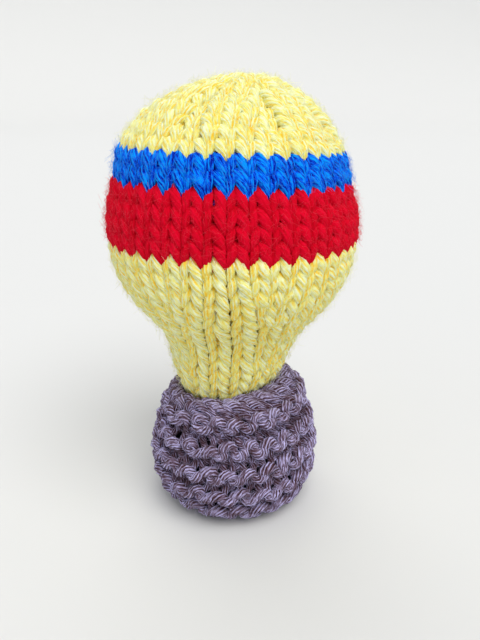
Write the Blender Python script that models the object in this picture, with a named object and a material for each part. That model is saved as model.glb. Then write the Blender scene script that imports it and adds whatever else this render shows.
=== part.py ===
import bmesh
import bpy
from math import atan2, cos, hypot, pi, sin

# A small stuffed toy hot air balloon, knitted in double-knitting yarn and standing
# on its garter-stitch basket. Heights are measured up from the table.

# Gauge of the knitting
WALES = 40                 # columns of stitches round the balloon
STITCH_WIDTH = 0.00455
STITCH_HEIGHT = 0.0033
WALE_RELIEF = 0.00040      # how far a column stands out, and a groove lies back
WALE_RADIUS = WALES * STITCH_WIDTH / (2 * pi)

# Outline of the balloon, from the crown down to the basket's mouth, as fractions
# of the radius that the gauge gives: (radius, height from the blue and red line)
BALLOON_OUTLINE = (
    (0.00, 0.750), (0.13, 0.735), (0.30, 0.685), (0.56, 0.565), (0.735, 0.425),
    (0.883, 0.236), (0.945, 0.00), (1.008, -0.235), (1.01, -0.47), (0.962, -0.75),
    (0.828, -1.00), (0.655, -1.21), (0.553, -1.40), (0.508, -1.58), (0.435, -1.74),
    (0.390, -1.84), (0.370, -1.99),
)
LINE_HEIGHT = 2.931 * WALE_RADIUS    # blue and red line above the table

# Colour changes, as heights
BLUE_TOP = LINE_HEIGHT + 0.236 * WALE_RADIUS
RED_TOP = LINE_HEIGHT
RED_BOTTOM = LINE_HEIGHT - 0.470 * WALE_RADIUS
NECK_TOP = LINE_HEIGHT - 1.300 * WALE_RADIUS
NECK_WALES = 16
NECK_RELIEF = 1.8          # its columns stand out this many times further
POINT_DROP = 0.0010        # a stitch's point hangs this far below the colour change
NECK_SHIFT = -0.0022       # the foot of the neck leans this far to the left
BEND_TOP = 0.050
BEND_FOOT = 0.030

# Drawn-up crown, to the right of the axis and a little before it
GATHER_RADIUS = 0.0028
GATHER_SHIFT = (0.0046, -0.0020)
GATHER_HEIGHT = 0.0011
LEAN = 0.038               # from the red stripe up, the rows drop this much to the right

# Basket, a pouch of garter stitch: (radius, height)
BASKET_OUTLINE = (
    (0.0138, 0.0000), (0.0172, 0.0014), (0.0196, 0.0048), (0.0213, 0.0092), (0.0218, 0.0138),
    (0.0214, 0.0184), (0.0201, 0.0230), (0.0186, 0.0276), (0.0174, 0.0304),
)
BASKET_STITCHES = 36
RIDGE_PITCH = 0.0062
FIRST_RIDGE = 0.0023       # up the wall from its foot
RIDGE_RELIEF = 0.00055
RIM_RISE = 0.10            # the mouth climbs this much to the right, metre by metre
SOCKET_RADIUS = 0.0124
SOCKET_FLOOR = 0.0260
RIM_TOP = 0.0335
RIM_STEPS = 7
BASE_RADIUS = 0.0129
BASE_THICKNESS = 0.0020

GAP = 0.0003               # clearance between neighbours


def clear_scene():
    for obj in list(bpy.context.scene.objects):
        bpy.data.objects.remove(obj, do_unlink=True)


def yarn_material(name, colour, roughness):
    material = bpy.data.materials.new(name)
    material.use_nodes = True
    shader = material.node_tree.nodes["Principled BSDF"]
    shader.inputs["Base Color"].default_value = (*colour, 1.0)
    shader.inputs["Roughness"].default_value = roughness
    shader.inputs["Metallic"].default_value = 0.0
    return material


def rounded_line(points, spans=10):
    """A smooth line through the points, in Catmull-Rom spans."""
    first = (-points[1][0], points[1][1]) if points[0][0] == 0.0 else points[0]
    guides = [first, *points, points[-1]]
    line = []
    for a, b, c, d in zip(guides, guides[1:], guides[2:], guides[3:]):
        for step in range(spans):
            t = step / spans
            line.append(tuple(
                0.5 * (2 * q + (r - p) * t + (2 * p - 5 * q + 4 * r - s) * t ** 2
                       + (3 * q - p - 3 * r + s) * t ** 3)
                for p, q, r, s in zip(a, b, c, d)))
    line.append(points[-1])
    return line


def run_lengths(line):
    """Distance along the line at each of its points."""
    runs = [0.0]
    for (r0, z0), (r1, z1) in zip(line, line[1:]):
        runs.append(runs[-1] + hypot(r1 - r0, z1 - z0))
    return runs


def point_on(line, runs, run):
    """The (radius, height) that lies this far along the line."""
    run = min(max(run, 0.0), runs[-1])
    index = next(i for i in range(1, len(runs)) if runs[i] >= run)
    share = (run - runs[index - 1]) / (runs[index] - runs[index - 1])
    low, high = line[index - 1], line[index]
    return tuple(a + (b - a) * share for a, b in zip(low, high))


def run_at_height(line, runs, height):
    """How far down the line this height comes."""
    index = next(i for i in range(1, len(line)) if line[i][1] <= height)
    high, low = line[index - 1][1], line[index][1]
    return runs[index - 1] + (runs[index] - runs[index - 1]) * (high - height) / (high - low)


BALLOON_LINE = rounded_line([(r * WALE_RADIUS, LINE_HEIGHT + z * WALE_RADIUS) for r, z in BALLOON_OUTLINE])
BALLOON_RUNS = run_lengths(BALLOON_LINE)
BASKET_LINE = rounded_line(BASKET_OUTLINE)
BASKET_RUNS = run_lengths(BASKET_LINE)


def crown_shift(run):
    """The gather pulls the top of the crown off the axis."""
    share = max(0.0, 1.0 - run / run_at_height(BALLOON_LINE, BALLOON_RUNS, BLUE_TOP)) ** 1.5
    return GATHER_SHIFT[0] * share, GATHER_SHIFT[1] * share


def is_crest(vert, segments):
    """Every other corner of a ring is the crest of a column of stitches."""
    return round(atan2(vert.co.y, vert.co.x) * segments / (2 * pi)) % 2 == 0


def set_ring(verts, segments, run, drop, lift, relief):
    """Lay a ring of corners on the balloon's outline, with columns and stitch points."""
    for vert in verts:
        angle = atan2(vert.co.y, vert.co.x)
        side = 1.0 if is_crest(vert, segments) else -1.0
        radius, height = point_on(BALLOON_LINE, BALLOON_RUNS, run + side * drop)
        radius += side * relief * min(1.0, radius / WALE_RADIUS)
        vert.co = (radius * cos(angle), radius * sin(angle), height + lift)


def lean_of(height):
    """The rows lie level under the red stripe and lean more and more above it."""
    return LEAN * min(1.0, max(0.0, (height - RED_BOTTOM) / (BLUE_TOP - RED_BOTTOM)))


def neck_shift(height):
    """The neck leans to the left down to the basket's mouth, which lies over there too."""
    return NECK_SHIFT * min(1.0, max(0.0, (BEND_TOP - height) / (BEND_TOP - BEND_FOOT))) ** 1.2


def shift_ring(verts, run):
    shift_x, shift_y = crown_shift(run)
    for vert in verts:
        vert.co.z -= lean_of(vert.co.z) * vert.co.x
        vert.co.x += shift_x + neck_shift(vert.co.z)
        vert.co.y += shift_y


def next_ring(bm, edges):
    """Extrude an open edge loop and hand back its new edges and corners."""
    new = bmesh.ops.extrude_edge_only(bm, edges=edges)["geom"]
    ring_edges = [item for item in new if isinstance(item, bmesh.types.BMEdge)]
    ring_verts = [item for item in new if isinstance(item, bmesh.types.BMVert)]
    return ring_edges, ring_verts


def finish_piece(bm, name, material, base_height):
    """Turn the faces outwards and place the piece by its lowest level."""
    bmesh.ops.recalc_face_normals(bm, faces=bm.faces)
    bmesh.ops.translate(bm, verts=bm.verts, vec=(0.0, 0.0, -base_height))
    mesh = bpy.data.meshes.new(name)
    bm.to_mesh(mesh)
    bm.free()
    mesh.shade_smooth()
    mesh.set_sharp_from_angle(angle=0.9)
    mesh.materials.append(material)
    obj = bpy.data.objects.new(name, mesh)
    obj.location.z = base_height
    bpy.context.scene.collection.objects.link(obj)
    return obj


def close_end(bm, edges):
    """Fill an open loop with a fan, so that neighbours' ends match along the stitch points."""
    face = bmesh.ops.contextual_create(bm, geom=edges)["faces"]
    bmesh.ops.poke(bm, faces=face)


def balloon_piece(name, material, top_run, foot_run, segments, top_drop, foot_drop):
    """One colour of the balloon: a stuffed slice between two runs of the outline."""
    rows = max(1, round((foot_run - top_run) / STITCH_HEIGHT))
    relief = WALE_RELIEF * (1.0 if segments == 2 * WALES else NECK_RELIEF)
    bm = bmesh.new()
    verts = bmesh.ops.create_circle(bm, segments=segments, radius=1.0)["verts"]
    edges = list(bm.edges)
    rings = []
    for row in range(rows + 1):
        if row:
            edges, verts = next_ring(bm, edges)
        run = foot_run + (top_run - foot_run) * row / rows
        drop = {0: foot_drop, rows: top_drop}.get(row, 0.0)
        lift = {0: GAP / 2, rows: -GAP / 2}.get(row, 0.0)
        set_ring(verts, segments, run, drop, lift, relief)
        rings.append((verts, run))
        if row == 0:
            foot_edges = edges
    close_end(bm, foot_edges)
    close_end(bm, edges)
    for verts, run in rings:
        shift_ring(verts, run)
    foot_height = min(vert.co.z for vert in bm.verts)
    return finish_piece(bm, name, material, foot_height)


def build_balloon(yellow, blue, red):
    blue_run, red_run, foot_run, neck_run = (
        run_at_height(BALLOON_LINE, BALLOON_RUNS, height)
        for height in (BLUE_TOP, RED_TOP, RED_BOTTOM, NECK_TOP))
    around = 2 * WALES
    balloon_piece("crown", yellow, GATHER_RADIUS, blue_run, around, 0.0, POINT_DROP)
    balloon_piece("blue_stripe", blue, blue_run, red_run, around, POINT_DROP, POINT_DROP)
    balloon_piece("red_stripe", red, red_run, foot_run, around, POINT_DROP, POINT_DROP)
    balloon_piece("lower_balloon", yellow, foot_run, neck_run, around, POINT_DROP, 0.0)
    balloon_piece("neck", yellow, neck_run, BALLOON_RUNS[-1], 2 * NECK_WALES, 0.0, 0.0)


def build_gather(yellow):
    """The last stitches drawn up on the yarn's end: a small button on the crown."""
    run = GATHER_RADIUS
    radius, height = point_on(BALLOON_LINE, BALLOON_RUNS, run)
    bm = bmesh.new()
    bmesh.ops.create_uvsphere(bm, u_segments=20, v_segments=8, radius=radius)
    bmesh.ops.scale(bm, verts=bm.verts, vec=(1.0, 1.0, GATHER_HEIGHT / (2 * radius)))
    shift_x, shift_y = crown_shift(run)
    gather = finish_piece(bm, "crown_gather", yellow, 0.0)
    gather.location = (shift_x, shift_y, height + GAP / 2 + GATHER_HEIGHT / 2)


def shape_mouth(bm):
    """The pouch's mouth climbs to the right and lies to the left, and its base stays flat."""
    edge = BASKET_OUTLINE[-1][0]
    for vert in bm.verts:
        side, height = vert.co.x, vert.co.z
        vert.co.z += RIM_RISE * side * (height / RIM_TOP) ** 2
        if height > SOCKET_FLOOR - GAP:
            share = (edge - hypot(side, vert.co.y)) / (edge - SOCKET_RADIUS)
            vert.co.x += neck_shift(height) * min(1.0, max(0.0, share))


def turned_piece(name, material, section, segments, closed):
    """Turn a section of (radius, height) points; a ring's section joins up on itself."""
    bm = bmesh.new()
    verts = [bm.verts.new((radius, 0.0, height)) for radius, height in section]
    edges = [bm.edges.new(pair) for pair in zip(verts, verts[1:])]
    if closed:
        edges.append(bm.edges.new((verts[-1], verts[0])))
    bmesh.ops.spin(bm, geom=verts + edges, cent=(0, 0, 0), axis=(0, 0, 1), angle=2 * pi,
                   steps=segments, use_merge=True)
    bmesh.ops.remove_doubles(bm, verts=bm.verts, dist=1e-6)
    bmesh.ops.holes_fill(bm, edges=[edge for edge in bm.edges if edge.is_boundary], sides=0)
    shape_mouth(bm)
    return finish_piece(bm, name, material, 0.0)


def ridged_outline():
    """The basket's outside, waved into ridges of garter stitch."""
    step = RIDGE_PITCH / 4
    runs = [FIRST_RIDGE - step]
    while runs[-1] + step < BASKET_RUNS[-1]:
        runs.append(runs[-1] + step)
    section = [BASKET_OUTLINE[0]]
    for run in runs:
        radius, height = point_on(BASKET_LINE, BASKET_RUNS, run)
        wave = cos(2 * pi * (run - FIRST_RIDGE) / RIDGE_PITCH)
        section.append((radius + RIDGE_RELIEF * wave, height))
    return section + [BASKET_OUTLINE[-1]]


def build_basket(brown):
    outside = ridged_outline()
    recess = BASE_RADIUS + GAP
    under = [(recess, BASE_THICKNESS + GAP), (recess, 0.0)]
    socket = [(SOCKET_RADIUS, outside[-1][1]), (SOCKET_RADIUS, SOCKET_FLOOR)]
    turned_piece("basket_wall", brown, under + outside + socket, 2 * BASKET_STITCHES, False)

    base = [(BASE_RADIUS, BASE_THICKNESS), (BASE_RADIUS, 0.0)]
    turned_piece("basket_base", brown, base, 2 * BASKET_STITCHES, False)

    seat_radius, seat_height = outside[-1]
    seat_height += GAP
    crest_radius = (seat_radius + SOCKET_RADIUS) / 2
    half_width = crest_radius - SOCKET_RADIUS
    rim = [(SOCKET_RADIUS, seat_height), (seat_radius, seat_height)]
    for step in range(1, RIM_STEPS):
        angle = pi * step / RIM_STEPS
        rim.append((crest_radius + half_width * cos(angle),
                    seat_height + (RIM_TOP - seat_height) * sin(angle) ** 0.7))
    turned_piece("basket_rim", brown, rim, 2 * BASKET_STITCHES, True)


clear_scene()
yellow_yarn = yarn_material("yellow_yarn", (0.90, 0.68, 0.10), 0.85)
blue_yarn = yarn_material("blue_yarn", (0.01, 0.13, 0.70), 0.85)
red_yarn = yarn_material("red_yarn", (0.70, 0.010, 0.015), 0.85)
brown_yarn = yarn_material("brown_yarn", (0.23, 0.14, 0.13), 0.90)
build_balloon(yellow_yarn, blue_yarn, red_yarn)
build_gather(yellow_yarn)
build_basket(brown_yarn)
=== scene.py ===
from math import atan2, cos, hypot, pi, radians, sin, tau
import random

import bmesh
import bpy
import numpy as np
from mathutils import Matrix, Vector


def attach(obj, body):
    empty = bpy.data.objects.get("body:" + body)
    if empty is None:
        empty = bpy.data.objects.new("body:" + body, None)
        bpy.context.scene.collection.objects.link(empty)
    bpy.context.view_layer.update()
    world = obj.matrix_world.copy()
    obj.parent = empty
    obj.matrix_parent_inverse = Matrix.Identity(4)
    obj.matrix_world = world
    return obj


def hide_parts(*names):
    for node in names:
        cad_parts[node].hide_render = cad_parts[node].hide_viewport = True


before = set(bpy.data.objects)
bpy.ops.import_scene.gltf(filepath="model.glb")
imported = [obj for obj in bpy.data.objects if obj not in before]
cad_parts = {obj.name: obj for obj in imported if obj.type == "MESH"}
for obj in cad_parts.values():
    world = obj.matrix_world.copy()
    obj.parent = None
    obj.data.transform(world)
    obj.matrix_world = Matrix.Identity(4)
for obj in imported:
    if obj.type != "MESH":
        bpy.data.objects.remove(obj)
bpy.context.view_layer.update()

# The neck and the lower balloon are one tube of yellow stockinette, cast on at the neck
# inside the basket and widened every few rows. The yarn is soft double-knitting yarn, and
# each row is one strand whose loops are drawn through the loops of the row below.

# the stitches round the girth give its radius, and the outline runs from the top down in
# shares of that radius, with its heights from the line between red and blue
GAUGE_STITCH = 0.00455
GIRTH_STITCHES = 40
WALE_RADIUS = GIRTH_STITCHES * GAUGE_STITCH / tau
LINE_HEIGHT = 2.931 * WALE_RADIUS
BALLOON_OUTLINE = (
    (0.00, 0.750), (0.13, 0.735), (0.30, 0.685), (0.56, 0.565), (0.735, 0.425),
    (0.883, 0.236), (0.945, 0.00), (1.008, -0.235), (1.01, -0.47), (0.962, -0.75),
    (0.828, -1.00), (0.655, -1.21), (0.553, -1.40), (0.508, -1.58), (0.435, -1.74),
    (0.390, -1.84), (0.370, -1.99),
)
BLUE_TOP = LINE_HEIGHT + 0.236 * WALE_RADIUS
RED_BOTTOM = LINE_HEIGHT - 0.470 * WALE_RADIUS

# the crown is drawn up off the axis, the foot of the neck lies to the left, and the rows
# lean and droop at the sides, more and more from under the red stripe to the blue's top
GATHER_SHIFT = np.array((0.0046, -0.0020))
GATHER_FADE = 1.5
LEAN = 0.038
LEAN_FOOT = RED_BOTTOM - 0.010
ROW_DROOP = 0.0011
DROOP_START = 3
NECK_SHIFT = -0.0022
BEND_TOP, BEND_FOOT = 0.050, 0.030
BEND_GROWTH = 1.2

# folds down the crown, one along each line of decreases
SEAM_ANGLE = pi / 2
CREASES = 8
CREASE_TURN = 0.4 * pi
CREASE_DEPTH = 0.0014
CREASE_NARROWNESS = 6
CREASE_BULGE = 0.3


def smooth_line(points, spans=10):
    """The solids' rounded outline through (radius, height) points, as an array."""
    first = (-points[1][0], points[1][1]) if points[0][0] == 0.0 else points[0]
    guides = np.array([first, *points, points[-1]])
    line = []
    for a, b, c, d in zip(guides, guides[1:], guides[2:], guides[3:]):
        for t in np.arange(spans) / spans:
            line.append(0.5 * (2 * b + (c - a) * t + (2 * a - 5 * b + 4 * c - d) * t ** 2
                               + (3 * b - a - 3 * c + d) * t ** 3))
    line.append(guides[-1])
    return np.array(line)


class Surface:
    """A turned surface: a place on it is an angle, a run down the outline and a height off it."""

    def __init__(self, line, shape):
        self.line = line
        self.runs = np.concatenate(([0.0], np.cumsum(np.hypot(*np.diff(line, axis=0).T))))
        self.slope = np.gradient(line, self.runs, axis=0)
        self.shape = shape

    def run_at(self, height):
        index = int(np.argmax(self.line[:, 1] <= height))
        span = slice(index - 1, index + 1)
        return float(np.interp(-height, -self.line[span, 1], self.runs[span]))

    def run_near(self, radius, height):
        return float(self.runs[np.argmin(np.hypot(self.line[:, 0] - radius, self.line[:, 1] - height))])

    def place(self, angle, run, out):
        radius, height = (np.interp(run, self.runs, self.line[:, k]) for k in (0, 1))
        along, down = (np.interp(run, self.runs, self.slope[:, k]) for k in (0, 1))
        size = np.hypot(along, down)
        radius = radius - out * down / size
        height = height + out * along / size
        return self.shape(np.array((radius * np.cos(angle), radius * np.sin(angle), height)), run)


def neck_shift(height):
    """The neck leans to the left down to the basket's mouth, which lies over there too."""
    return NECK_SHIFT * min(1.0, max(0.0, (BEND_TOP - height) / (BEND_TOP - BEND_FOOT))) ** BEND_GROWTH


def shape_balloon(point, run):
    """Lean the rows, fold the crown and draw it up off the axis, and bend the neck."""
    angle = atan2(point[1], point[0])
    share = min(1.0, max(0.0, (point[2] - LEAN_FOOT) / (BLUE_TOP - LEAN_FOOT)))
    droop = ROW_DROOP * min(1.0, DROOP_START * share)
    point[2] -= LEAN * share * point[0] + droop * (point[0] / WALE_RADIUS) ** 2
    if run < BLUE_RUN:
        fold = abs(cos((angle - SEAM_ANGLE) * CREASES / 2 - CREASE_TURN)) ** CREASE_NARROWNESS
        drawn_in = CREASE_DEPTH * sin(pi * run / BLUE_RUN) * (fold - CREASE_BULGE)
        point -= drawn_in * np.array((cos(angle), sin(angle), 1.0))
        point[:2] += GATHER_SHIFT * (1.0 - run / BLUE_RUN) ** GATHER_FADE
    point[0] += neck_shift(point[2])
    return point


balloon_line = smooth_line(BALLOON_OUTLINE) * WALE_RADIUS + (0.0, LINE_HEIGHT)
balloon = Surface(balloon_line, shape_balloon)
BLUE_RUN = balloon.run_at(BLUE_TOP)
RED_RUN = balloon.run_at(LINE_HEIGHT)
YELLOW_RUN = balloon.run_at(RED_BOTTOM)

# stitches in each row from the neck up, and where the first row starts and the last ends
LOWER_COUNTS = (16, 16, 16, 20, 20, 20, 24, 24, 32, 32, 40, 40, 40)
STRIPE_COUNTS = (GIRTH_STITCHES,) * 4
BAND_COUNTS = (GIRTH_STITCHES,) * 2
CROWN_COUNTS = (40, 40, 32, 32, 24, 24, 16, 16, 8)
MOUTH_HEIGHT = 0.0305
MOUTH_RUN = balloon.run_at(MOUTH_HEIGHT)
CROWN_END = 0.0022
TURN_EACH_ROW = 0.4
EASE = 0.6


def seats_over(tops, count, turn):
    """Angles where a row's stitches sit on the row below, made more or fewer evenly."""
    before = len(tops)
    ring = [*tops, tops[0] + tau]
    if count >= before:
        more = count - before
        extra = {int((m + turn) * before / more) % before for m in range(more)} if more else set()
        seats = []
        for index in range(before):
            seats.append(ring[index])
            if index in extra:
                seats.append((ring[index] + ring[index + 1]) / 2)
        return seats
    fewer = before - count
    joined = {int((m + turn) * before / fewer) % before for m in range(fewer)}
    seats = []
    index = 0
    while index < before:
        if index in joined and index + 1 < before:
            seats.append((ring[index] + ring[index + 1]) / 2)
            index += 2
        else:
            seats.append(ring[index])
            index += 1
    return seats


def spread(seats, ease):
    """Tops for those seats: eased towards even spacing round the whole row."""
    count = len(seats)
    start = sum(seat - tau * index / count for index, seat in enumerate(seats)) / count
    return [seat + ease * (start + tau * index / count - seat) for index, seat in enumerate(seats)]


def plan_rows(first_tops, plan):
    """Rows as (seats, tops, foot run, head run), each on the tops of the one before it."""
    rows = []
    tops = first_tops
    for count, foot, head in plan:
        seats = seats_over(tops, count, TURN_EACH_ROW)
        tops = spread(seats, EASE)
        rows.append((seats, tops, foot, head))
    return rows


def levels(counts, foot, head):
    """Equal rows between two runs: (count, foot run, head run) each."""
    step = (head - foot) / len(counts)
    return [(count, foot + step * row, foot + step * (row + 1)) for row, count in enumerate(counts)]


plan = (levels(LOWER_COUNTS, MOUTH_RUN, YELLOW_RUN) + levels(STRIPE_COUNTS, YELLOW_RUN, RED_RUN)
        + levels(BAND_COUNTS, RED_RUN, BLUE_RUN) + levels(CROWN_COUNTS, BLUE_RUN, CROWN_END))
cast_on = [SEAM_ANGLE + tau * index / LOWER_COUNTS[0] for index in range(LOWER_COUNTS[0])]
balloon_rows = plan_rows(cast_on, plan)

# one loop of stockinette, from left to right: (across, up, own depth, next row's depth,
# thickness, painted shade), as shares of the stitch. Its two legs meet in a thin point at
# the foot. The twist of the yarn fattens the left leg and stands the right one up. The yarn
# that is pressed between other loops gets more painted shade.
STOCKING_LOOP = (
    (0.03, -0.34, 0.55, 0.00, 0.52, 0.50), (-0.06, 0.16, 0.90, 0.00, 0.74, 0.15),
    (-0.19, 0.60, 1.00, 0.00, 1.06, 0.00), (-0.32, 1.00, 0.75, 0.00, 1.20, 0.10),
    (-0.41, 1.38, -0.15, -0.60, 1.04, 0.70), (0.00, 1.54, 0.00, -1.25, 0.84, 1.00),
    (0.41, 1.38, -0.15, -0.60, 0.88, 0.90), (0.35, 0.98, 0.70, 0.00, 1.02, 0.45),
    (0.24, 0.48, 0.88, 0.00, 0.92, 0.35), (0.11, -0.24, 0.50, 0.00, 0.54, 0.60),
    (0.56, -0.42, -1.30, 0.00, 0.76, 1.00),
)
# the column of the loop tables that holds the painted shade
PAINTED_SHADE = 5
LOOP_DEPTH = 0.00085
YARN_RADIUS = 0.00118
FABRIC_SUNK = 0.0019
PLY_TURN = radians(-40.0)
TWIST_SLACK = 0.3

# how much a loop's thickness and its depth stray, as shares of the knitting's unevenness
SWELL_SHARE = 0.8
LIFT_SHARE = 1.5


def loop_points(surface, row, loop, faces, sunk, ridge, unevenness, chance):
    """Control points of one row's strand: (place, thickness, twist) in order round the row."""
    seats, tops, foot, head = row
    own, above = faces
    count = len(seats)
    path = []
    for index in range(count):
        ahead = seats[(index + 1) % count] + (tau if index + 1 == count else 0.0)
        behind = seats[index - 1] - (tau if index == 0 else 0.0)
        top_ahead = tops[(index + 1) % count] + (tau if index + 1 == count else 0.0)
        top_behind = tops[index - 1] - (tau if index == 0 else 0.0)
        foot_width = (ahead - behind) / 2
        head_width = (top_ahead - top_behind) / 2
        slide = chance.gauss(0.0, unevenness)
        reach = 1.0 + chance.gauss(0.0, unevenness)
        swell = 1.0 + chance.gauss(0.0, unevenness * SWELL_SHARE)
        lift = chance.gauss(0.0, unevenness * LIFT_SHARE)
        for across, up, own_depth, next_depth, thick, _ in loop:
            share = min(1.0, max(0.0, up))
            width = foot_width + (head_width - foot_width) * share
            angle = seats[index] + (tops[index] - seats[index]) * up + (across + slide * share) * width
            run = foot + (head - foot) * up * (reach if up > 0.5 else 1.0)
            out = (own * own_depth + above * next_depth + lift) * LOOP_DEPTH - sunk + ridge(run)
            path.append((surface.place(angle, run, out), thick * swell, chance.gauss(0.0, TWIST_SLACK)))
    return path


YELLOW_PLIES = 7
PLY_ROUGHNESS = 0.055
STEPS_A_KNOT = 2


def strand_mesh(name, paths, section, closed, turn):
    """Sweep a section along smooth strands, twisted by a turn at each of their knots."""
    curve = bpy.data.curves.new(name, "CURVE")
    curve.dimensions = "3D"
    curve.bevel_mode = "OBJECT"
    curve.bevel_object = section
    curve.use_fill_caps = not closed
    for path in paths:
        spline = curve.splines.new("NURBS")
        spline.points.add(len(path) - 1)
        for index, (point, (place, thick, twist)) in enumerate(zip(spline.points, path)):
            point.co = (*place, 1.0)
            point.radius = thick
            point.tilt = turn * (index + twist)
        spline.order_u = min(4, len(path))
        spline.resolution_u = STEPS_A_KNOT if closed else 1
        spline.use_cyclic_u = closed
        spline.use_endpoint_u = not closed
    guide = bpy.data.objects.new(name, curve)
    bpy.context.scene.collection.objects.link(guide)
    evaluated = guide.evaluated_get(bpy.context.evaluated_depsgraph_get())
    mesh = bpy.data.meshes.new_from_object(evaluated)
    bpy.data.objects.remove(guide)
    mesh.shade_smooth()
    return mesh


def mark_plies(mesh, corners, loops, seed):
    """Roughen the yarn, and keep each point's place round it and along it, ply and painted shade."""
    places = np.empty(len(mesh.vertices) * 3, dtype=np.float32)
    mesh.vertices.foreach_get("co", places)
    rings = places.reshape(-1, corners, 3)
    middles = rings.mean(axis=1)
    uneven = np.random.RandomState(seed).normal(1.0, PLY_ROUGHNESS, (len(rings), corners, 1))
    rings = middles[:, None] + (rings - middles[:, None]) * uneven
    mesh.vertices.foreach_set("co", rings.astype(np.float32).ravel())
    along = np.concatenate(([0.0], np.cumsum(np.linalg.norm(np.diff(middles, axis=0), axis=1))))
    turn = tau * np.arange(corners) / corners
    fibre = np.empty((len(middles), corners, 3), dtype=np.float32)
    fibre[:, :, 0] = np.cos(turn) * YARN_RADIUS
    fibre[:, :, 1] = np.sin(turn) * YARN_RADIUS
    fibre[:, :, 2] = along[:, None]
    mesh.attributes.new("fibre", "FLOAT_VECTOR", "POINT").data.foreach_set("vector", fibre.ravel())
    ply = np.tile(np.arange(corners) % 2, len(middles)).astype(np.float32)
    mesh.attributes.new("ply", "FLOAT", "POINT").data.foreach_set("value", ply)
    painted_shade = []
    for loop, stitches in loops:
        knots = [knot[PAINTED_SHADE] for knot in loop] * stitches
        # a closed strand starts at its second knot
        steps = np.arange(STEPS_A_KNOT * len(knots)) / STEPS_A_KNOT + 1
        painted_shade.append(np.interp(steps, np.arange(len(knots) + 2), knots + knots[:2]))
    painted_shade = np.repeat(np.concatenate(painted_shade), corners).astype(np.float32)
    mesh.attributes.new("painted_shade", "FLOAT", "POINT").data.foreach_set("value", painted_shade)


LINING_SEGMENTS = 60
LINING_RINGS = 12
LINING_HOLE = 0.0002


def lining_mesh(surface, foot, head, depth):
    """The stuffing's face, close behind the loops: a closed turned body."""
    bm = bmesh.new()
    verts = []
    for run in np.linspace(foot, head, LINING_RINGS):
        radius, height = (np.interp(run, surface.runs, surface.line[:, k]) for k in (0, 1))
        along, down = (np.interp(run, surface.runs, surface.slope[:, k]) for k in (0, 1))
        size = hypot(along, down)
        radius = max(LINING_HOLE, radius + depth * down / size)
        verts.append(bm.verts.new((radius, 0.0, height - depth * along / size)))
    edges = [bm.edges.new(pair) for pair in zip(verts, verts[1:])]
    bmesh.ops.spin(bm, geom=verts + edges, cent=(0, 0, 0), axis=(0, 0, 1), angle=tau,
                   steps=LINING_SEGMENTS, use_merge=True)
    for vert in bm.verts:
        run = surface.run_near(hypot(vert.co.x, vert.co.y), vert.co.z)
        vert.co = surface.shape(np.array(vert.co), run)
    bmesh.ops.holes_fill(bm, edges=[edge for edge in bm.edges if edge.is_boundary], sides=0)
    bmesh.ops.recalc_face_normals(bm, faces=bm.faces)
    mesh = bpy.data.meshes.new("lining")
    bm.to_mesh(mesh)
    bm.free()
    mesh.shade_smooth()
    return mesh


# a loose fibre starts inside the yarn and rises out of it, less steeply at each step
FIBRE_RADIUS = 0.00002
FIBRE_POINTS = 3
FIBRE_STEP = (0.0003, 0.0008)
LONG_FIBRES = 0.08
LONG_STEP = 2.0
FIBRE_RISE = (0.15, 0.9)
RISE_FADE = 0.75
FIBRE_START = (0.0003, 0.0011)
FIBRE_BEND = 0.9
NARROWEST = 0.002


def fluff_paths(surface, foot, head, amount, sunk, chance):
    """Loose fibres that stand off the yarn: short curved paths from inside the loops."""
    paths = []
    widest = float(surface.line[:, 0].max())
    while len(paths) < amount:
        run = chance.uniform(min(foot, head), max(foot, head))
        radius = float(np.interp(run, surface.runs, surface.line[:, 0]))
        if chance.random() * widest > radius:
            continue
        angle = chance.uniform(0.0, tau)
        heading = chance.uniform(0.0, tau)
        step = chance.uniform(*FIBRE_STEP) * (LONG_STEP if chance.random() < LONG_FIBRES else 1.0)
        rise = chance.uniform(*FIBRE_RISE)
        out = chance.uniform(*FIBRE_START) - sunk + YARN_RADIUS
        path = []
        for _ in range(FIBRE_POINTS):
            path.append((surface.place(angle, run, out), 1.0, 0.0))
            heading += chance.gauss(0.0, FIBRE_BEND)
            angle += step * cos(heading) / max(radius, NARROWEST)
            run = min(float(surface.runs[-1]), max(0.0, run + step * sin(heading)))
            out += step * rise
            rise *= RISE_FADE
        paths.append(path)
    return paths


def ring_section(name, corners, ridge, groove):
    """A closed section to sweep, with grooves between the ridges at its odd corners."""
    curve = bpy.data.curves.new(name, "CURVE")
    curve.dimensions = "3D"
    spline = curve.splines.new("POLY")
    spline.points.add(corners - 1)
    for index, point in enumerate(spline.points):
        angle = -tau * index / corners
        size = ridge if index % 2 else groove
        point.co = (size * cos(angle), size * sin(angle), 0.0, 1.0)
    spline.use_cyclic_u = True
    section = bpy.data.objects.new(name, curve)
    bpy.context.scene.collection.objects.link(section)
    return section


def joined(name, meshes, materials):
    """One object from several meshes, each with the material of the same place in the list."""
    bm = bmesh.new()
    for mesh in meshes:
        bm.from_mesh(mesh)
    counts = np.cumsum([len(mesh.polygons) for mesh in meshes])
    bm.faces.ensure_lookup_table()
    for face in bm.faces:
        face.material_index = int(np.searchsorted(counts, face.index, side="right"))
    whole = bpy.data.meshes.new(name)
    bm.to_mesh(whole)
    bm.free()
    for mesh in meshes:
        bpy.data.meshes.remove(mesh)
    for material in materials:
        whole.materials.append(material)
    piece = bpy.data.objects.new(name, whole)
    bpy.context.scene.collection.objects.link(piece)
    return piece


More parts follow.
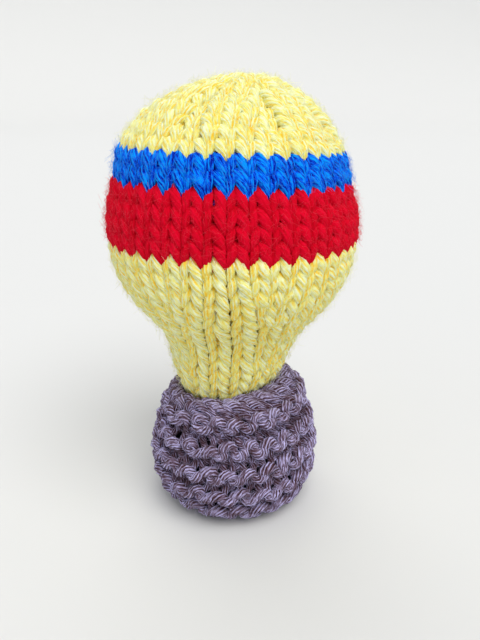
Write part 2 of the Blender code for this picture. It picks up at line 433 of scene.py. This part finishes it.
class Socket:
    """A shader value: arithmetic on it adds the Math nodes that work it out."""

    def __init__(self, tree, output):
        self.tree = tree
        self.output = output

    def math(self, operation, other, swap=False):
        node = self.tree.nodes.new("ShaderNodeMath")
        node.operation = operation
        for slot, value in zip(node.inputs, [other, self] if swap else [self, other]):
            feed(self.tree, slot, value)
        return Socket(self.tree, node.outputs[0])

    def __add__(self, other):
        return self.math("ADD", other)

    def __sub__(self, other):
        return self.math("SUBTRACT", other)

    def __mul__(self, other):
        return self.math("MULTIPLY", other)

    def __rsub__(self, other):
        return self.math("SUBTRACT", other, swap=True)

    __radd__ = __add__
    __rmul__ = __mul__

    def held(self):
        """The same value, kept between 0 and 1."""
        node = self.tree.nodes.new("ShaderNodeClamp")
        feed(self.tree, node.inputs[0], self)
        return Socket(self.tree, node.outputs[0])


def feed(tree, slot, value):
    """Set a socket to a plain value, or link it to a shader value."""
    if isinstance(value, Socket):
        tree.links.new(value.output, slot)
    else:
        slot.default_value = value


class Shader:
    """A new material's node tree, with one method that adds any node."""

    def __init__(self, name):
        self.material = bpy.data.materials.new(name)
        self.material.use_nodes = True
        self.tree = self.material.node_tree
        self.surface = self.tree.nodes["Principled BSDF"]

    def node(self, kind, settings=None, out=0, **values):
        node = self.tree.nodes.new(kind)
        for key, value in (settings or {}).items():
            setattr(node, key, value)
        for key, value in values.items():
            slot = node.inputs[int(key[1:])] if key[1:].isdigit() else node.inputs[key.replace("_", " ")]
            feed(self.tree, slot, value)
        return Socket(self.tree, node.outputs[out])

    def mix(self, share, first, second):
        return self.node("ShaderNodeMix", {"data_type": "RGBA"}, out=2, i0=share, i6=first, i7=second)

    def finish(self, **values):
        for key, value in values.items():
            feed(self.tree, self.surface.inputs[key.replace("_", " ")], value)
        return self.material


FIBRE_DRAW = (1.0, 1.0, 0.28)
STREAK_SCALE = 4200.0
STRAND_SCALE = 2000.0
MOTTLE_SCALE = 260.0
PATCH_SCALE = 700.0
MEAN_PAINTED_SHADE = 0.3


def yarn_material(name, lit, body, shaded, weights, roughness, relief, sheen=0.0):
    """Plied yarn: a painted highlight on the plies and painted shade in the grooves, with fibres
    drawn along each ply.

    The weights say how much of the tone comes from the painted highlight and shade across the
    plies, the strands, the streaks of single fibres, the mottle over the whole piece, and the
    painted shade between the loops."""
    shader = Shader(name)
    ply_weight, strand_weight, streak_weight, mottle_weight, painted_shade_weight = weights
    ply = shader.node("ShaderNodeAttribute", {"attribute_name": "ply"}, out=2)
    painted_shade = shader.node("ShaderNodeAttribute", {"attribute_name": "painted_shade"}, out=2)
    fibre = shader.node("ShaderNodeAttribute", {"attribute_name": "fibre"}, out=1)
    place = shader.node("ShaderNodeTexCoord", out=3)
    drawn = shader.node("ShaderNodeMapping", {}, Vector=fibre, Scale=FIBRE_DRAW)
    streak = shader.node("ShaderNodeTexNoise", Vector=drawn, Scale=STREAK_SCALE, Detail=3.0,
                         Roughness=0.65) - 0.5
    strand = shader.node("ShaderNodeTexNoise", Vector=drawn, Scale=STRAND_SCALE, Detail=1.0) - 0.5
    mottle = shader.node("ShaderNodeTexNoise", Vector=place, Scale=MOTTLE_SCALE, Detail=2.0) - 0.5
    patch = shader.node("ShaderNodeTexNoise", Vector=place, Scale=PATCH_SCALE, Detail=1.0)
    parted = ((patch - 0.5) * 2.4 + 0.7).held()
    fibres = streak * streak_weight + strand * strand_weight
    # the plies' ridges take a painted highlight and their grooves painted shade; the fibres and the mottle
    # vary the tone at random
    tone = 0.5 + (ply - 0.5) * parted * ply_weight + fibres + mottle * mottle_weight
    # painted shade on the yarn that lies between and behind other loops
    tone = tone + (MEAN_PAINTED_SHADE - painted_shade) * painted_shade_weight
    # from the darkest colour, painted shade, through the yarn's own colour to the lit colour, a painted
    # highlight
    colour = shader.mix((tone * 2.0).held(), (*shaded, 1.0), (*body, 1.0))
    colour = shader.mix((tone * 2.0 - 1.0).held(), colour, (*lit, 1.0))
    height = ply * parted * 0.5 + streak * 0.6 + strand * 0.6
    bump = shader.node("ShaderNodeBump", Height=height, Strength=1.0, Distance=relief)
    shader.finish(Base_Color=colour, Roughness=roughness, Normal=bump, Sheen_Weight=sheen,
                  Sheen_Roughness=0.5, Specular_IOR_Level=0.1)
    return shader.material


def painted_shade_lining_material(name, colour):
    """The felted back of the fabric and the stuffing behind it, in a colour darkened as painted shade."""
    shader = Shader(name)
    place = shader.node("ShaderNodeTexCoord", out=3)
    fluff = shader.node("ShaderNodeTexNoise", Vector=place, Scale=900.0, Detail=4.0)
    tint = shader.mix(fluff, (*[0.6 * c for c in colour], 1.0), (*colour, 1.0))
    bump = shader.node("ShaderNodeBump", Height=fluff, Strength=0.6, Distance=0.0004)
    shader.finish(Base_Color=tint, Roughness=0.95, Normal=bump)
    return shader.material


def fluff_material(name, colour):
    """Loose fibres, paler than the yarn because the light goes through them."""
    shader = Shader(name)
    place = shader.node("ShaderNodeTexCoord", out=3)
    patch = shader.node("ShaderNodeTexNoise", Vector=place, Scale=150.0, Detail=1.0)
    tint = shader.mix(patch, (*[0.8 * c for c in colour], 1.0), (*colour, 1.0))
    shader.finish(Base_Color=tint, Roughness=0.6)
    return shader.material


KNIT, PURL = 1, -1
GROOVE = 0.86
LINING_DEPTH = 0.0021
LINING_MARGIN = 0.0010
FLUFF_INSET = 0.0012
UNEVENNESS = 0.05
yarn_section = ring_section("yarn_section", 2 * YELLOW_PLIES, YARN_RADIUS, YARN_RADIUS * GROOVE)
fibre_section = ring_section("fibre_section", 3, FIBRE_RADIUS, FIBRE_RADIUS)
# the lit colour is a painted highlight, the darkest colour painted shade, and the lining's golden orange
# painted shade too
yellow = (
    yarn_material("yellow_yarn", lit=(0.92, 0.97, 0.66), body=(0.88, 0.84, 0.22), shaded=(0.96, 0.60, 0.03),
                  weights=(0.9, 1.4, 2.0, 0.6, 0.6), roughness=0.8, relief=0.0003, sheen=0.1),
    painted_shade_lining_material("yellow_lining_painted_shade", (0.97, 0.66, 0.04)),
    fluff_material("yellow_fluff", (0.95, 0.95, 0.62)),
)


def finish_piece(name, meshes, materials, nodes):
    """Join a piece's meshes, hang it on the root body, and hide the CAD nodes that it stands for."""
    piece = joined(name, meshes, materials)
    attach(piece, "root")
    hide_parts(*nodes)


def level(run):
    """Stockinette lies level, with no ridges."""
    return 0.0


def stockinette(name, rows, seed, fibres, materials, nodes):
    """A piece of stockinette, with its lining and so many loose fibres to a stitch."""
    chance = random.Random(seed)
    paths = [loop_points(balloon, row, STOCKING_LOOP, (KNIT, KNIT), FABRIC_SUNK, level, UNEVENNESS, chance)
             for row in rows]
    loops = strand_mesh(name, paths, yarn_section, True, PLY_TURN)
    mark_plies(loops, 2 * YELLOW_PLIES, [(STOCKING_LOOP, len(row[0])) for row in rows], seed)
    foot, head = rows[0][2], rows[-1][3]
    lining = lining_mesh(balloon, foot - LINING_MARGIN, head + LINING_MARGIN, LINING_DEPTH)
    amount = int(fibres * sum(len(row[0]) for row in rows))
    fluff = fluff_paths(balloon, foot - FLUFF_INSET, head, amount, FABRIC_SUNK, chance)
    loose = strand_mesh(name, fluff, fibre_section, False, 0.0)
    finish_piece(name, [loops, lining, loose], materials, nodes)


NECK_ROWS = 5
lower_end = len(LOWER_COUNTS)
stockinette("neck_knit", balloon_rows[:NECK_ROWS], seed=11, fibres=20, materials=yellow,
            nodes=["neck"])
stockinette("lower_balloon_knit", balloon_rows[NECK_ROWS:lower_end], seed=12, fibres=15, materials=yellow,
            nodes=["lower_balloon"])

# The red stripe is four rows of stockinette, knitted on from the yellow with red yarn
# of the same weight, which is a little fluffier.

# the lit colour is a painted highlight, the darkest red painted shade, and the lining's dark red painted
# shade too
red = (
    yarn_material("red_yarn", lit=(0.80, 0.002, 0.03), body=(0.66, 0.0, 0.016), shaded=(0.46, 0.0, 0.006),
                  weights=(0.4, 0.9, 1.0, 0.6, 0.4), roughness=0.95, relief=0.0002),
    painted_shade_lining_material("red_lining_painted_shade", (0.40, 0.0, 0.006)),
    fluff_material("red_fluff", (0.80, 0.01, 0.04)),
)
red_end = lower_end + len(STRIPE_COUNTS)
stockinette("red_stripe_knit", balloon_rows[lower_end:red_end], seed=13, fibres=24, materials=red,
            nodes=["red_stripe"])

# The blue stripe is two rows of stockinette, knitted on from the red with a bright blue
# yarn of the same weight, whose fibres show pale at random over painted shade in its grooves.

# the lit colour is a painted highlight, the darkest blue painted shade, and the lining's dark blue painted
# shade too
blue = (
    yarn_material("blue_yarn", lit=(0.001, 0.34, 1.00), body=(0.0, 0.11, 0.88), shaded=(0.0, 0.002, 0.27),
                  weights=(0.9, 1.6, 2.8, 1.0, 0.5), roughness=0.9, relief=0.0003),
    painted_shade_lining_material("blue_lining_painted_shade", (0.0, 0.03, 0.25)),
    fluff_material("blue_fluff", (0.02, 0.25, 0.85)),
)
blue_end = red_end + len(BAND_COUNTS)
stockinette("blue_stripe_knit", balloon_rows[red_end:blue_end], seed=14, fibres=24, materials=blue,
            nodes=["blue_stripe"])

# The crown is yellow again, in stockinette. In every second row stitches are knitted
# together in pairs, until eight are left, which are drawn up on the yarn's end.

stockinette("crown_knit", balloon_rows[blue_end:], seed=15, fibres=21, materials=yellow,
            nodes=["crown", "crown_gather"])

# The basket is a round pouch of garter stitch in a mauve brown yarn, stuffed, with the
# neck sewn into its mouth. Every second row stands out as a ridge.

# (radius, height) from the middle of the base, up the wall and over the rim to the neck
BASKET_OUTLINE = (
    (0.0005, 0.0000), (0.0060, 0.0000), (0.0110, 0.0000), (0.0138, 0.0002), (0.0170, 0.0014),
    (0.0195, 0.0048), (0.0213, 0.0092), (0.0218, 0.0138), (0.0213, 0.0184), (0.0200, 0.0230),
    (0.0186, 0.0272), (0.0174, 0.0305), (0.0156, 0.0327), (0.0133, 0.0335), (0.0112, 0.0325),
    (0.0100, 0.0302), (0.0097, 0.0276),
)
basket_line = smooth_line(BASKET_OUTLINE)[::-1]
RIM_TOP = 0.0335
RIM_RISE = 0.12
FRONT_RISE = 0.05
MOUTH_EDGE = 0.0174
SOCKET_RADIUS = 0.0124
SOCKET_FLOOR = 0.0260
FLOOR_REST = 0.0017


def shape_basket(point, run):
    """The mouth climbs to the right and lies to the left, and the base is pressed on the floor."""
    side, depth, height = point
    if height > SOCKET_FLOOR:
        share = (MOUTH_EDGE - hypot(side, depth)) / (MOUTH_EDGE - SOCKET_RADIUS)
        point[0] += neck_shift(height) * min(1.0, max(0.0, share))
    climb = (RIM_RISE * side - FRONT_RISE * depth) * (height / RIM_TOP) ** 2
    point[2] = max(FLOOR_REST, height + climb)
    return point


# garter stitch: every second row is a purl row, whose foot stands out as a ridge. The last
# column is painted shade, most on the legs sunk in the valleys between the ridges.
GARTER_LOOP = (
    (-0.24, -0.08, -0.80, 0.00, 1.12, 0.10), (-0.15, 0.16, 0.20, 0.00, 0.90, 0.60),
    (-0.22, 0.50, -0.35, 0.00, 0.78, 1.00), (-0.32, 0.84, 0.00, 0.00, 0.90, 0.80),
    (-0.27, 1.20, 0.00, -0.80, 1.14, 0.20), (0.04, 1.44, 0.00, -1.10, 1.22, 0.00),
    (0.33, 1.20, 0.00, -0.50, 1.06, 0.20), (0.28, 0.70, 0.00, -0.05, 0.80, 0.90),
    (0.16, 0.16, 0.20, 0.00, 0.84, 0.70), (0.25, -0.17, -0.60, 0.00, 1.10, 0.15),
    (0.50, -0.42, -1.10, 0.00, 1.24, 0.00),
)
RIDGE_DEPTH = 0.0009
GARTER_SUNK = 0.0019
FIRST_ROW = 0.0021
ROW_RISE = 0.0031
GARTER_COUNTS = (6, 10, 13, 16, 19, 21, 23, 24, 25, 25, 25, 25, 24, 23, 22, 21, 20, 18)
LAST_PURL = 14
GARTER_UNEVENNESS = 0.09


def garter_ridge(run):
    """Ridges along the purl rows' feet, and none over the rim."""
    rows = (base_run - run - FIRST_ROW) / ROW_RISE
    if rows > LAST_PURL:
        return RIDGE_DEPTH * cos(pi / 2 * min(1.0, rows - LAST_PURL))
    return RIDGE_DEPTH * cos(pi * rows)


BROWN_PLIES = 8
BROWN_TURN = radians(-70.0)
BASKET_LINING_DEPTH = 0.0048
BASKET_LINING_MARGIN = 0.0005
BASKET_FIBRES = 3
brown_section = ring_section("brown_section", 2 * BROWN_PLIES, YARN_RADIUS, YARN_RADIUS * GROOVE)
basket = Surface(basket_line, shape_basket)
base_run = basket.runs[-1]
garter_foot = base_run - FIRST_ROW
garter_plan = [(count, garter_foot - ROW_RISE * row, garter_foot - ROW_RISE * (row + 1))
               for row, count in enumerate(GARTER_COUNTS)]
first_tops = [SEAM_ANGLE + tau * index / GARTER_COUNTS[0] for index in range(GARTER_COUNTS[0])]
garter_rows = plan_rows(first_tops, garter_plan)
garter_faces = [PURL if row % 2 == 0 and row <= LAST_PURL else KNIT
                for row in range(len(garter_rows) + 1)]
# the pale lilac lit colour is a painted highlight, the darkest brown painted shade, and the near-black
# lining painted shade too
brown = (
    yarn_material("brown_yarn", lit=(0.56, 0.51, 0.84), body=(0.165, 0.11, 0.17),
                  shaded=(0.045, 0.014, 0.016), weights=(1.0, 1.4, 2.2, 0.9, 0.3), roughness=0.75,
                  relief=0.0004, sheen=0.05),
    painted_shade_lining_material("brown_lining_painted_shade", (0.03, 0.015, 0.03)),
    fluff_material("brown_fluff", (0.42, 0.35, 0.48)),
)


def garter(name, first_row, last_row, seed, nodes):
    """Rows of garter stitch, knit and purl by turns as seen from outside, and knit over the rim."""
    chance = random.Random(seed)
    rows = garter_rows[first_row:last_row]
    paths = []
    kinds = []
    for number, row in enumerate(rows, first_row):
        loop = STOCKING_LOOP if number > LAST_PURL else GARTER_LOOP
        faces = garter_faces[number:number + 2]
        paths.append(loop_points(basket, row, loop, faces, GARTER_SUNK, garter_ridge,
                                 GARTER_UNEVENNESS, chance))
        kinds.append((loop, len(row[0])))
    loops = strand_mesh(name, paths, brown_section, True, BROWN_TURN)
    mark_plies(loops, 2 * BROWN_PLIES, kinds, seed)
    foot, head = rows[0][2], rows[-1][3]
    lining = lining_mesh(basket, foot - BASKET_LINING_MARGIN, head + BASKET_LINING_MARGIN,
                         BASKET_LINING_DEPTH)
    amount = int(BASKET_FIBRES * sum(len(row[0]) for row in rows))
    fluff = fluff_paths(basket, foot, head, amount, GARTER_SUNK, chance)
    loose = strand_mesh(name, fluff, fibre_section, False, 0.0)
    finish_piece(name, [loops, lining, loose], brown, nodes)


WALL_ROW, RIM_ROW = 4, 14
garter("basket_base_knit", 0, WALL_ROW, 21, ["basket_base"])
garter("basket_wall_knit", WALL_ROW, RIM_ROW, 22, ["basket_wall"])
garter("basket_rim_knit", RIM_ROW, len(garter_rows), 23, ["basket_rim"])
for section in (yarn_section, brown_section, fibre_section):
    bpy.data.objects.remove(section)

# The toy stands on a plain pale floor, in soft studio light, and the camera looks down
# on it from close by, as the photograph does.

FLOOR_SIZE = 1.6
FLOOR_SEGMENTS = 72
SWEEP = 0.8
SWEEP_STEPS = 12
bm = bmesh.new()
sweep = [(0.0001, 0.0), (FLOOR_SIZE, 0.0)]
for step in range(1, SWEEP_STEPS + 1):
    bend = step * pi / (2 * SWEEP_STEPS)
    sweep.append((FLOOR_SIZE + SWEEP * sin(bend), SWEEP * (1.0 - cos(bend))))
verts = [bm.verts.new((radius, 0.0, height)) for radius, height in sweep]
edges = [bm.edges.new(pair) for pair in zip(verts, verts[1:])]
bmesh.ops.spin(bm, geom=verts + edges, cent=(0, 0, 0), axis=(0, 0, 1), angle=tau,
               steps=FLOOR_SEGMENTS, use_merge=True)
bmesh.ops.recalc_face_normals(bm, faces=bm.faces)
floor_mesh = bpy.data.meshes.new("floor")
bm.to_mesh(floor_mesh)
bm.free()
floor_mesh.shade_smooth()
floor = bpy.data.objects.new("floor", floor_mesh)
bpy.context.scene.collection.objects.link(floor)
floor_shader = Shader("floor_paper")
floor_mesh.materials.append(floor_shader.finish(Base_Color=(0.66, 0.66, 0.65, 1.0), Roughness=0.9))


def soft_sun(name, comes_from, strength, spread_angle, colour):
    """A far, wide lamp, so that the floor is lit evenly."""
    light = bpy.data.lights.new(name, "SUN")
    light.energy = strength
    light.angle = radians(spread_angle)
    light.color = colour
    lamp = bpy.data.objects.new(name, light)
    lamp.rotation_euler = Vector(comes_from).to_track_quat("Z", "Y").to_euler()
    bpy.context.scene.collection.objects.link(lamp)


soft_sun("key", (0.30, -0.55, 1.00), 2.3, 45.0, (1.0, 0.99, 0.97))
soft_sun("fill", (-0.80, -0.60, 0.35), 0.35, 60.0, (0.95, 0.97, 1.0))
soft_sun("back", (-0.20, 0.80, 0.70), 0.9, 60.0, (1.0, 1.0, 1.0))
world = bpy.data.worlds.new("studio")
world.use_nodes = True
world.node_tree.nodes["Background"].inputs["Color"].default_value = (0.85, 0.88, 0.92, 1.0)
world.node_tree.nodes["Background"].inputs["Strength"].default_value = 0.55
bpy.context.scene.world = world
bpy.context.scene.view_settings.view_transform = "Standard"

CAMERA_DISTANCE = 4.85 * WALE_RADIUS
CAMERA_HEIGHT = LINE_HEIGHT + 0.67 * WALE_RADIUS
LOOK_DOWN = radians(21.5)
LOOK_RIGHT = radians(0.70)
PHOTO_HEIGHT = 640
FOCAL_PIXELS = 600
SENSOR = 36.0
camera_data = bpy.data.cameras.new("camera")
camera_data.sensor_width = SENSOR
camera_data.lens = SENSOR * FOCAL_PIXELS / PHOTO_HEIGHT
camera_data.clip_start = 0.01
camera = bpy.data.objects.new("camera", camera_data)
camera.location = (0.0, -CAMERA_DISTANCE, CAMERA_HEIGHT)
camera.rotation_euler = (pi / 2 - LOOK_DOWN, 0.0, -LOOK_RIGHT)
bpy.context.scene.collection.objects.link(camera)
bpy.context.scene.camera = camera
